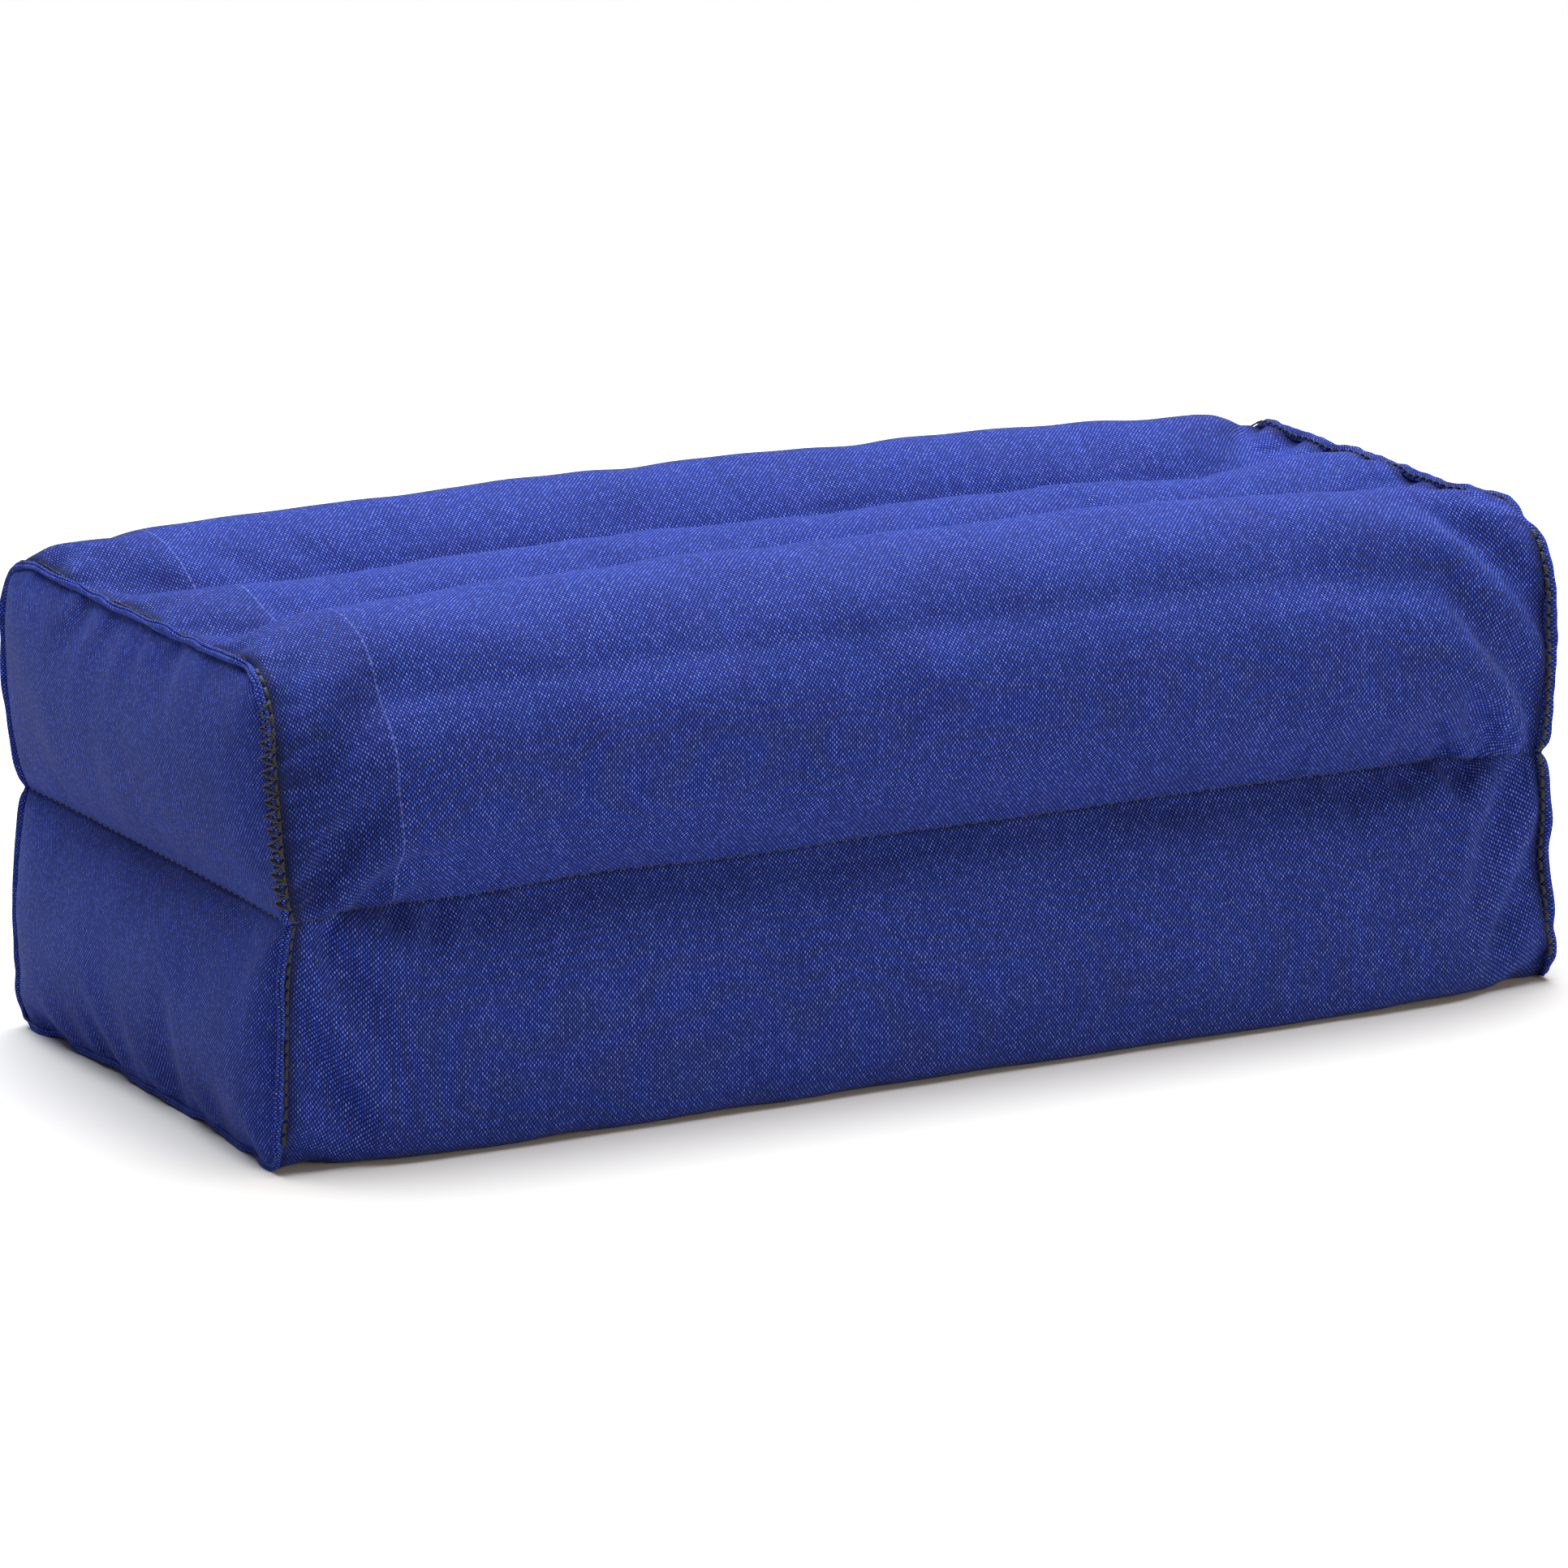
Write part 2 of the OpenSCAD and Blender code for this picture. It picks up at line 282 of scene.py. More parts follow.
def sewing(index, rng):
    """Every seam and every sheet of the cushion."""
    threads = Threads()
    x = stations()
    dx = np.diff(x)
    middle = (x[1:] + x[:-1]) / 2
    pull = 0.9 + 0.6 * waves(rng, middle, 0, (30 * MM, 90 * MM), 8)
    pull += 0.9 * smooth((middle - 80 * MM) / (60 * MM))
    for a in (0, ACROSS):
        threads.seam(index[:, a, ROWS], dx * (1.02 - (1 - STITCH_PULL) * pull))
    inside = slice(BAFFLE_START, COLS + 1 - BAFFLE_START)
    for a in (CHANNEL, 2 * CHANNEL):
        for b in (0, 2 * ROWS):
            threads.seam(index[inside, a, b], dx[BAFFLE_START:COLS - BAFFLE_START] * STITCH_PULL)
    cuts = {(side, end): panel(2 * HALF_W, WALL_H, corner_radius(side, end * SEAM_X))
            for side in LAYERS for end in SIDES}
    for end in SIDES:
        threads.seam(index[COLS if end > 0 else 0, :, ROWS], 2 * HALF_W / ACROSS * 0.985)
        for side in LAYERS:
            walls, cut = walls_of(index, side)[COLS if end > 0 else 0], cuts[side, end]
            for k in (np.s_[:, -1], np.s_[0], np.s_[-1]):
                threads.seam(walls[k], np.sqrt((np.diff(cut[k], axis=0) ** 2).sum(-1)) * 0.99)
    near = smooth((SEAM_X - np.abs(x)) / TAPER)
    for side in LAYERS:
        flat = wrap_cut(side).copy()
        flat[..., 1] *= 1 + 0.006 * waves(rng, flat[..., 0], flat[..., 1], (50 * MM, 120 * MM), 14)
        threads.sheet(wrap_of(index, side), flat)
        walls = walls_of(index, side)
        for end in SIDES:
            threads.sheet(walls[COLS if end > 0 else 0], cuts[side, end] * PANEL_EASE)
        full = WALL_H - 2 * MM
        height = (full + (BAFFLE_H[side] - full) * near)[inside, None] * np.linspace(0, 1, ROWS + 1)
        for a in (CHANNEL, 2 * CHANNEL):
            along = np.broadcast_to(x[inside, None], height.shape)
            threads.sheet(walls[inside, a], np.stack([along, height], -1), shear=2)
    width = SHEET_W + (2 * HALF_W - SHEET_W) * np.clip((np.abs(x) / SEAM_X - 0.8) / 0.2, 0, 1) ** 2
    across = width[:, None] * np.linspace(-0.5, 0.5, ACROSS + 1)
    along = np.broadcast_to(x[:, None], across.shape)
    threads.sheet(index[:, :, ROWS], np.stack([along, across], -1), shear=2)
    return threads


def quads_of(grid, flip=False):
    """A grid of point numbers as quads."""
    q = np.stack([grid[:-1, :-1], grid[1:, :-1], grid[1:, 1:], grid[:-1, 1:]], -1).reshape(-1, 4)
    return q[:, ::-1] if flip else q


def outer_faces(index):
    """Quads of the outside, their normals out."""
    return np.concatenate([
        quads_of(index[:, :, -1]), quads_of(index[:, :, 0], True),
        quads_of(index[:, 0, :]), quads_of(index[:, ACROSS, :], True),
        quads_of(index[COLS, :, :]), quads_of(index[0, :, :], True),
    ])


def sum_at(quads, values, count):
    """Adds each quad's vector to its four points."""
    spread = np.repeat(values, 4, axis=0)
    return np.stack([np.bincount(quads.ravel(), spread[:, k], count) for k in range(3)], 1)


def quad_normals(x, quads):
    """Each quad's normal, as long as its area."""
    return np.cross(x[quads[:, 2]] - x[quads[:, 0]], x[quads[:, 3]] - x[quads[:, 1]]) / 2


def inflate(index, steps, push=4e-6, weight=4e-8, drag=0.97, ease_steps=200):
    """Blows the sewn cloth up on the floor, and lets it settle at half the pressure."""
    rng = np.random.default_rng(SEED)
    x, target, hold = sewn_shape(index)
    x += rng.normal(0, 0.06 * MM, x.shape)
    groups = list(sewing(index, rng).groups(len(x)))
    quads = outer_faces(index)
    centre = x[quads].mean(1)
    lumps = 1 + 0.45 * waves(rng, centre[:, 0], centre[:, 1] + centre[:, 2], (35 * MM, 90 * MM), 16)
    cell = 2 * SEAM_X / COLS * 2 * HALF_W / ACROSS
    v = np.zeros_like(x)
    for step in range(steps):
        if step % 3 == 0:
            force = sum_at(quads, quad_normals(x, quads) * (lumps / (4 * cell))[:, None], len(x))
        v += force * (push if step <= steps - ease_steps else push / 2)
        v[:, 2] -= weight
        v *= drag
        old = x.copy()
        x = x + v
        for a, b, rest, share, give in groups:
            d = x[b] - x[a]
            length = np.sqrt((d * d).sum(1))
            move = (length - rest) / length * share
            d *= np.where(move < 0, move * give, move)[:, None]
            x[a] += d
            x[b] -= d
        x += hold * (target - x)
        for axis, limit in ((0, BULGE_X), (1, BULGE_Y)):
            over = np.maximum(np.abs(x[:, axis]) - limit, 0)
            x[:, axis] -= np.sign(x[:, axis]) * over * 0.2
        low = x[:, 2] < 0
        x[low, 2] = 0
        x[low, :2] = old[low, :2] + 0.3 * (x[low, :2] - old[low, :2])
        v = x - old
    return x


# ---------- Meshes ----------
def refine(grid, times, axis):
    """More points along one axis of a grid, on smooth curves through the ones it has."""
    g = np.moveaxis(np.asarray(grid, float), axis, 0)
    g = np.concatenate([2 * g[:1] - g[1:2], g, 2 * g[-1:] - g[-2:-1]])
    p0, p1, p2, p3 = g[:-3], g[1:-2], g[2:-1], g[3:]
    parts = []
    for t in np.arange(times) / times:
        curve = 2 * p1 + (p2 - p0) * t + (2 * p0 - 5 * p1 + 4 * p2 - p3) * t ** 2
        parts.append((curve + (3 * p1 - p0 - 3 * p2 + p3) * t ** 3) / 2)
    fine = np.stack(parts, 1).reshape((-1,) + g.shape[1:])
    return np.moveaxis(np.concatenate([fine, g[-2:-1]]), 0, axis)


def unit(v):
    """Vectors of length 1."""
    return v / np.maximum(np.linalg.norm(v, axis=-1, keepdims=True), 1e-12)


def grid_normals(grid):
    return unit(np.cross(np.gradient(grid, axis=0), np.gradient(grid, axis=1)))


def make_mesh(name, verts, faces, uv):
    """A smooth mesh, with the flat cloth coordinates of its points as the UV map."""
    mesh = bpy.data.meshes.new(name)
    mesh.from_pydata(verts.tolist(), [], faces)
    layer = mesh.uv_layers.new(name="Cloth")
    corner = np.empty(len(mesh.loops), int)
    mesh.loops.foreach_get("vertex_index", corner)
    layer.data.foreach_set("uv", uv[corner].astype(np.float32).ravel())
    mesh.polygons.foreach_set("use_smooth", [True] * len(mesh.polygons))
    mesh.validate()
    mesh.update()
    return mesh


def add_piece(name, mesh, material, nodes):
    """Puts a mesh into the scene as the looks of these CAD nodes."""
    piece = bpy.data.objects.new(name, mesh)
    bpy.context.scene.collection.objects.link(piece)
    mesh.materials.append(material)
    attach(piece, "root")
    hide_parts(*nodes)
    return piece


def cloth_mesh(name, outer, inner, uv, uv_inner, flip):
    """Thin closed cloth. The outer grid may have several cells for each cell of the inner one."""
    m, n = outer.shape[:2]
    p, q = inner.shape[:2]
    out = np.arange(m * n).reshape(m, n)
    into = np.arange(p * q).reshape(p, q) + m * n
    faces = quads_of(out).tolist() + quads_of(into, True).tolist()

    def border(g):
        return [g[:, 0], g[-1, :], g[::-1, -1], g[0, ::-1]]

    for fine, coarse in zip(border(out), border(into)):
        step = (len(fine) - 1) // (len(coarse) - 1)
        for k in range(len(coarse) - 1):
            edge = fine[k * step:(k + 1) * step + 1][::-1].tolist()
            faces.append(edge + [int(coarse[k]), int(coarse[k + 1])])
    if flip:
        faces = [f[::-1] for f in faces]
    verts = np.concatenate([outer.reshape(-1, 3), inner.reshape(-1, 3)])
    return make_mesh(name, verts, faces, np.concatenate([uv.reshape(-1, 2), uv_inner.reshape(-1, 2)]))


def wrap_puckers(rng, cut, side):
    """How far the fine cloth of a wrap stands out of the simulated one: gathers along its seams."""
    along, around = cut[..., 0], cut[..., 1]
    from_end = SEAM_X - np.abs(along)
    total = around[:, -1:]
    from_waist = total - np.abs(around)
    grooves = np.zeros_like(around)
    lift = 0.35 * MM * waves(rng, along, around, (18 * MM, 50 * MM), 24)
    # gathers square to the waist seam, strongest near the right end
    slant = along + 0.25 * from_waist * np.sign(np.sin(along * 40))
    strength = 0.3 + 1.3 * smooth((along - 70 * MM) / (60 * MM))
    strength += 0.2 * smooth((-along - 110 * MM) / (40 * MM))
    ripple = waves(rng, slant, 0.1 * from_waist, (6 * MM, 13 * MM), 7)
    fade = np.exp(-from_waist / (11 * MM)) * (1 - np.exp(-from_waist / (2.5 * MM)))
    lift += 0.85 * MM * ripple * strength * fade
    # short gathers along the end seams
    ripple = waves(rng, around, 0.15 * from_end, (5 * MM, 12 * MM), 8)
    fade = np.exp(-from_end / (9 * MM)) * (1 - np.exp(-from_end / (2 * MM)))
    lift += 0.5 * MM * ripple * fade
    # creases that run out from the corners of the end seams
    corner = np.exp(-((from_waist - 55 * MM) / (13 * MM)) ** 2) * np.exp(-from_end / (17 * MM))
    lift += 0.4 * MM * waves(rng, around, 0.55 * from_end, (7 * MM, 13 * MM), 6) * corner
    # gathers beside the edge that was closed by hand
    if side == UP:
        folds = waves(rng, around, 0.08 * from_end, (4.5 * MM, 9 * MM), 7)
        fade = np.exp(-from_end / (12 * MM)) * smooth((58 * MM - from_waist) / (10 * MM))
        lift += 0.8 * MM * folds * fade * ((along < 0) & (around < 0))
    # small tucks along the grooves between the rolls
    for k in (CHANNEL, 2 * CHANNEL):
        line = around[:, (ROWS + k) * FINE:(ROWS + k) * FINE + 1]
        off = np.abs(around - line)
        tuck = waves(rng, along, 0, (8 * MM, 18 * MM), 6)
        grooves += tuck * np.exp(-off / (6 * MM)) * (1 - np.exp(-off / (1.5 * MM)))
    lift += 0.3 * MM * grooves
    edge = np.minimum(from_end, from_waist)
    return lift * smooth(edge / (4 * MM))


def make_wrap(x, normals, index, side, rng, material):
    """The cotton of one layer: front wall, rolls or base, back wall."""
    grid = wrap_of(index, side)
    cut = wrap_cut(side)
    outer = refine(refine(x[grid], FINE, 0), FINE, 1)
    uv = refine(refine(cut, FINE, 0), FINE, 1)
    facing = grid_normals(outer) * side
    outer = outer + facing * wrap_puckers(rng, uv, side)[..., None]
    outer[..., 2] = np.maximum(outer[..., 2], SKIN)
    inner = x[grid] - normals[grid] * CLOTH_T
    inner[..., 2] = np.maximum(inner[..., 2], SKIN + CLOTH_T)
    name = f"{LAYERS[side]}_wrap_cloth"
    piece = add_piece(name, cloth_mesh(name, outer, inner, uv, cut, side == DOWN), material,
                      [f"{LAYERS[side]}_wrap"])


def make_end(x, normals, index, side, end, rng, material):
    """One end panel of one layer."""
    walls = walls_of(index, side)[COLS if end > 0 else 0]
    cut = panel(2 * HALF_W, WALL_H, corner_radius(side, end * SEAM_X))
    outer = refine(refine(x[walls], FINE, 0), FINE, 1)
    uv = refine(refine(cut, FINE, 0), FINE, 1)
    facing = grid_normals(outer) * (side * end)
    edge = np.minimum(WALL_H - uv[..., 1], HALF_W - np.abs(uv[..., 0]))
    edge = np.minimum(edge, uv[..., 1])
    lift = 0.22 * MM * waves(rng, uv[..., 0], uv[..., 1], (16 * MM, 45 * MM), 20)
    ripple = waves(rng, uv[..., 0], uv[..., 1], (6 * MM, 14 * MM), 10)
    lift += 0.22 * MM * ripple * np.exp(-np.maximum(edge, 0) / (7 * MM))
    outer = outer + facing * (lift * smooth(edge / (4 * MM)))[..., None]
    inner = x[walls] - normals[walls] * CLOTH_T
    outer[..., 2] = np.maximum(outer[..., 2], SKIN)
    inner[..., 2] = np.maximum(inner[..., 2], SKIN)
    name = f"{LAYERS[side]}_{SIDES[end]}_end"
    mesh = cloth_mesh(name, outer, inner, uv + (0.5 + 0.3 * end, 0.6), cut + (0.5 + 0.3 * end, 0.6),
                      side * end < 0)
    piece = add_piece(name + "_cloth", mesh, material, [name])


def flat_sheet(name, grid, cut, material, node):
    """A hidden sheet: half its thickness to each side, its edges kept back from the seams."""
    g = grid.copy()
    for axis in (0, 1):
        g = np.moveaxis(g, axis, 0)
        g[0] += (g[1] - g[0]) * 0.3
        g[-1] += (g[-2] - g[-1]) * 0.3
        g = np.moveaxis(g, 0, axis)
    normal = grid_normals(g) * CLOTH_T / 2
    piece = add_piece(name, cloth_mesh(name, g + normal, g - normal, cut, cut, False), material,
                      [node])


def make_filling(x, index, side, channel, material):
    """One channel's kapok: a closed lump that fills its tube, a little inside the cloth."""
    walls = walls_of(index, side)
    near, far = channel * CHANNEL, (channel + 1) * CHANNEL

    def wall(a):
        grid = walls[:, a, :]
        bottom, top = x[grid[:, 0]], x[grid[:, -1]]
        t = np.linspace(0, 1, ROWS + 1)[None, :, None]
        return np.where((grid >= 0)[..., None], x[grid], bottom[:, None] * (1 - t) + top[:, None] * t)

    crown = x[walls[:, near:far + 1, -1]]
    base = x[walls[:, near:far + 1, 0]]
    ring = np.concatenate([wall(near), crown[:, 1:], wall(far)[:, -2::-1], base[:, -2:0:-1]], 1)
    count = ring.shape[1]
    verts = [ring.reshape(-1, 3)]
    faces = []
    for i in range(COLS):
        for j in range(count):
            k = (j + 1) % count
            faces.append([i * count + j, (i + 1) * count + j, (i + 1) * count + k, i * count + k])
    total = (COLS + 1) * count
    for end, i in ((-1, 0), (1, COLS)):
        plane = x[walls[i, near:far + 1, :]].copy()
        ids = -np.ones(plane.shape[:2], int)
        ids[0, :] = i * count + np.arange(ROWS + 1)
        ids[:, -1] = i * count + ROWS + np.arange(CHANNEL + 1)
        ids[-1, ::-1] = i * count + ROWS + CHANNEL + np.arange(ROWS + 1)
        ids[1:-1, 0] = i * count + 2 * ROWS + CHANNEL + np.arange(1, CHANNEL)[::-1]
        inside = ids < 0
        ids[inside] = total + np.arange(inside.sum())
        total += int(inside.sum())
        verts.append(plane[inside])
        faces += quads_of(ids, end < 0).tolist()
    verts = np.concatenate(verts)
    quads = np.array(faces)
    if side == DOWN:
        quads = quads[:, ::-1]
    for _ in range(3):
        shared = np.zeros((len(verts), 4))
        ring_mean = verts[quads].mean(1)
        for k in range(4):
            np.add.at(shared, quads[:, k], np.concatenate([ring_mean, np.ones((len(quads), 1))], 1))
        verts = verts * 0.5 + 0.5 * shared[:, :3] / shared[:, 3:]
    normal = unit(sum_at(quads, quad_normals(verts, quads), len(verts)))
    verts = verts - normal * FILL_INSET
    verts[:, 2] = np.maximum(verts[:, 2], SKIN + 1.2 * CLOTH_T)
    place = CHANNELS[channel]
    name = f"{LAYERS[side]}_{place}_filling"
    mesh = make_mesh(name, verts, quads.tolist(), verts[:, :2] + verts[:, 2:])
    piece = add_piece(name, mesh, material, [f"{LAYERS[side]}_{place}_fill"])


def sweep(paths, section, name):
    """Closed bodies along paths.

    A path is (centre, side, out, scale) by ring; the section is (side, out) points. The scale has a
    width, a height and a lift for each ring.
    """
    verts, faces, uvs = [], [], []
    base = 0
    width = len(section)
    for centre, side, out, scale in paths:
        ring = centre[:, None] + side[:, None] * (section[:, 0] * scale[0][:, None])[..., None]
        ring = ring + out[:, None] * (section[:, 1] * scale[1][:, None] + scale[2][:, None])[..., None]
        run = np.concatenate([[0], np.cumsum(np.linalg.norm(np.diff(centre, axis=0), axis=1))])
        girth = np.concatenate([[0], np.cumsum(np.linalg.norm(np.diff(section, axis=0), axis=1))])
        verts.append(ring.reshape(-1, 3))
        uvs.append(np.stack(np.broadcast_arrays(run[:, None], girth), -1).reshape(-1, 2))
        rings = len(centre)
        ids = base + np.arange(rings * width).reshape(rings, width)
        around = np.concatenate([ids, ids[:, :1]], 1)
        faces += quads_of(around, True).tolist()
        faces.append(ids[0, ::-1].tolist())
        faces.append(ids[-1].tolist())
        base += rings * width
    return make_mesh(name, np.concatenate(verts), faces, np.concatenate(uvs))


def seam_path(x, normals, index, side, end, times=4):
    """The line where a wrap meets an end panel, from the front waist over to the back waist."""
    walls = walls_of(index, side)[COLS if end > 0 else 0]
    line = np.concatenate([walls[0, :], walls[1:, -1], walls[ACROSS, -2::-1]])
    path = refine(x[line], times, 0)
    out = unit(refine(normals[line], times, 0))
    return path, out


def frame_along(path, out):
    """Sideways and outward directions along a path, square to it."""
    run = unit(np.gradient(path, axis=0))
    side = unit(np.cross(run, out))
    return side, unit(np.cross(side, run))


def ply_section(width, height, sunk):
    """Two folded plies side by side, with a slit between them."""
    r = width / 4
    turn = np.linspace(np.pi, 0, 6)
    points = [(-width / 2, -sunk)]
    for middle in (-r, r):
        points += [(middle + r * 0.94 * np.cos(t), height - r + r * np.sin(t)) for t in turn]
        if middle < 0:
            points.append((0, height - 0.45 * height))
    points.append((width / 2, -sunk))
    return np.array(points)


def make_lip(x, normals, index, side, end, rng, material):
    """The seam edge that stands proud: two wavy plies, flatter where it was closed by hand."""
    path, out = seam_path(x, normals, index, side, end)
    run = np.concatenate([[0], np.cumsum(np.linalg.norm(np.diff(path, axis=0), axis=1))])
    across, out = frame_along(path, out)
    floor = smooth((6 * MM - path[:, 2]) / (5 * MM))[:, None]
    if side == DOWN:
        sideways = out * (1, 1, 0)
        out = unit(out * (1 - floor) + unit(sideways) * floor)
        across, out = frame_along(path, out)
    wobble = waves(rng, run, 0, (9 * MM, 30 * MM), 12)
    height = 1 + 0.16 * waves(rng, run, 0, (5 * MM, 25 * MM), 12)
    if side == UP and end < 0:
        closing = smooth((run - 2 * MM) / (4 * MM)) * smooth((50 * MM - run) / (8 * MM))
        height *= 1 - 0.5 * closing
    tips = smooth(run / (3 * MM)) * smooth((run[-1] - run) / (3 * MM))
    height = height * (0.45 + 0.55 * tips)
    if side == DOWN:
        height *= 1 - 0.65 * smooth((7 * MM - path[:, 2]) / (4 * MM))
    height *= 1 - 0.35 * smooth((path[:, 1] - 45 * MM) / (20 * MM))
    width = 1 + 0.10 * waves(rng, run, 0, (8 * MM, 22 * MM), 8)
    centre = path + across * (0.18 * MM * wobble)[:, None]
    lift = np.zeros(len(run))
    if side == DOWN:
        centre[:, 2] = np.maximum(centre[:, 2], LIP_W * 0.62)
    name = f"{LAYERS[side]}_{SIDES[end]}_seam_edge"
    mesh = sweep([(centre, across, out, (width, height, lift))],
                 ply_section(LIP_W, LIP_H, LIP_SUNK), name)
    low = np.empty(len(mesh.vertices) * 3)
    mesh.vertices.foreach_get("co", low)
    low = low.reshape(-1, 3)
    low[:, 2] = np.maximum(low[:, 2], 0.02 * MM)
    mesh.vertices.foreach_set("co", low.ravel())
    mesh.update()
    add_piece(name + "_fold", mesh, material, [name])


def dashes(path, out, length, spacing, radius, rise, start=0.0, stop=None, tilt=0.0, shift=0.0):
    """A row of small stitches, each a short rounded thread that dips in at both ends; tilt zigzags."""
    run = np.concatenate([[0], np.cumsum(np.linalg.norm(np.diff(path, axis=0), axis=1))])
    stop = run[-1] if stop is None else stop
    side, out = frame_along(path, out)
    bodies = []
    t = np.linspace(-1, 1, 9)

    def pick(values):
        return np.stack([np.interp(where, run, values[:, k]) for k in range(3)], 1)

    for at in np.arange(start + spacing / 2, stop - spacing / 2, spacing):
        tilt = -tilt
        where = at + t * length / 2
        sides, outs = unit(pick(side)), unit(pick(out))
        arch = rise * (1 - t ** 4) - radius * 1.4 * t ** 4
        centre = pick(path) + sides * (shift + tilt * t)[:, None] + outs * arch[:, None]
        thin = np.sqrt(np.maximum(1 - t ** 6, 0.12))
        bodies.append((centre, sides, outs, (thin, thin, np.zeros(9))))
    turn = np.linspace(0, 2 * np.pi, 8, endpoint=False)[::-1]
    return bodies, np.stack([np.cos(turn), np.sin(turn)], 1) * radius


# ---------- Materials ----------
class Nodes:
    """A small helper: maths on sockets or numbers, each call one node."""

    def __init__(self, name):
        self.material = bpy.data.materials.new(name)
        self.material.use_nodes = True
        self.tree = self.material.node_tree
        self.shader = self.tree.nodes["Principled BSDF"]

    def put(self, socket, value):
        if isinstance(value, bpy.types.NodeSocket):
            self.tree.links.new(value, socket)
        else:
            socket.default_value = value

    def maths(self, operation, *values):
        node = self.tree.nodes.new("ShaderNodeMath")
        node.operation = operation
        for socket, value in zip(node.inputs, values):
            self.put(socket, value)
        return node.outputs[0]

    def vector(self, x, y, z=0.0):
        node = self.tree.nodes.new("ShaderNodeCombineXYZ")
        for socket, value in zip(node.inputs, (x, y, z)):
            self.put(socket, value)
        return node.outputs[0]

    def noise(self, vector, scale, detail=2.0, roughness=0.5):
        node = self.tree.nodes.new("ShaderNodeTexNoise")
        self.put(node.inputs["Vector"], vector)
        node.inputs["Scale"].default_value = scale
        node.inputs["Detail"].default_value = detail
        node.inputs["Roughness"].default_value = roughness
        return node.outputs["Fac"]

    def remap(self, value, low, high, to_low=0.0, to_high=1.0):
        node = self.tree.nodes.new("ShaderNodeMapRange")
        node.interpolation_type = "SMOOTHSTEP"
        for socket, v in zip(node.inputs, (value, low, high, to_low, to_high)):
            self.put(socket, v)
        return node.outputs["Result"]

    def mix(self, factor, a, b):
        node = self.tree.nodes.new("ShaderNodeMix")
        node.data_type = "RGBA"
        self.put(node.inputs[0], factor)
        for socket, value in ((node.inputs[6], a), (node.inputs[7], b)):
            self.put(socket, value if isinstance(value, bpy.types.NodeSocket) else (*value, 1))
        return node.outputs[2]

    def scaled(self, colour, factor):
        node = self.tree.nodes.new("ShaderNodeVectorMath")
        node.operation = "SCALE"
        self.put(node.inputs[0], colour)
        self.put(node.inputs["Scale"], factor)
        return node.outputs[0]

    def cloth_uv(self):
        uv = self.tree.nodes.new("ShaderNodeUVMap")
        uv.uv_map = "Cloth"
        split = self.tree.nodes.new("ShaderNodeSeparateXYZ")
        self.tree.links.new(uv.outputs[0], split.inputs[0])
        return uv.outputs[0], split.outputs[0], split.outputs[1]

    def bump(self, height, distance, strength=1.0):
        node = self.tree.nodes.new("ShaderNodeBump")
        node.inputs["Distance"].default_value = distance
        node.inputs["Strength"].default_value = strength
        self.tree.links.new(height, node.inputs["Height"])
        self.tree.links.new(node.outputs[0], self.shader.inputs["Normal"])


THREAD_BLUE = (0.019, 0.045, 0.340)
UNWORN_BLUE = (0.045, 0.085, 0.48)      # the cotton inside, which sees no light
GAP_NAVY = (0.003, 0.006, 0.045)        # between the threads; also the painted shade in folds and beside the end seams
PALE_BLUE = (0.24, 0.31, 0.80)          # a painted highlight on a lit thread, and the selvedge's own pale colour
FADED = (1.12, 0.94, 0.95)              # what a faded patch does to red, green and blue
BLACK = (0.008, 0.008, 0.012)
NAVY = (0.010, 0.014, 0.060)
CREAM, CREAM_SHADE = (0.86, 0.79, 0.62), (0.55, 0.47, 0.33)

PITCH_ALONG, PITCH_AROUND = 0.52 * MM, 0.61 * MM        # from thread to thread
WANDER = 2.2 * MM                       # how far the threads drift off their straight lines
SELVEDGE_X = -SEAM_X + 27 * MM          # the woven edge that shows as a pale line


def shade(colour, factor):
    return tuple(c * factor for c in colour)


def weave(n):
    """A plain weave on the cloth's own coordinates: height, which thread is on top, thread numbers."""
    uv, u, v = n.cloth_uv()
    drift = n.noise(uv, 28.0, 1.0)
    drift2 = n.noise(n.vector(v, u, 0.7), 24.0, 1.0)
    across = n.maths("DIVIDE", n.maths("MULTIPLY_ADD", drift, WANDER, u), PITCH_ALONG)
    up = n.maths("DIVIDE", n.maths("MULTIPLY_ADD", drift2, WANDER, v), PITCH_AROUND)
    warp_no, weft_no = n.maths("FLOOR", across), n.maths("FLOOR", up)

    def thread(position, number, other, flip):
        """How high one set of threads stands; flip picks which set starts on top."""
        off = n.maths("SUBTRACT", n.maths("SUBTRACT", position, number), 0.5)
        round_top = n.maths("SUBTRACT", 1.0, n.maths("MULTIPLY", n.maths("MULTIPLY", off, off), 3.6))
        turn = n.maths("MULTIPLY", n.maths("ADD", n.maths("ADD", other, number), flip - 0.5), math.pi)
        over = n.maths("MULTIPLY_ADD", n.maths("COSINE", turn), 0.34, 0.66)
        return n.maths("MULTIPLY", round_top, over)

    warp = thread(across, warp_no, up, 0.0)
    weft = thread(up, weft_no, across, 1.0)
    height = n.maths("MAXIMUM", warp, weft)
    return uv, u, v, height, n.maths("GREATER_THAN", warp, weft), warp_no, weft_no


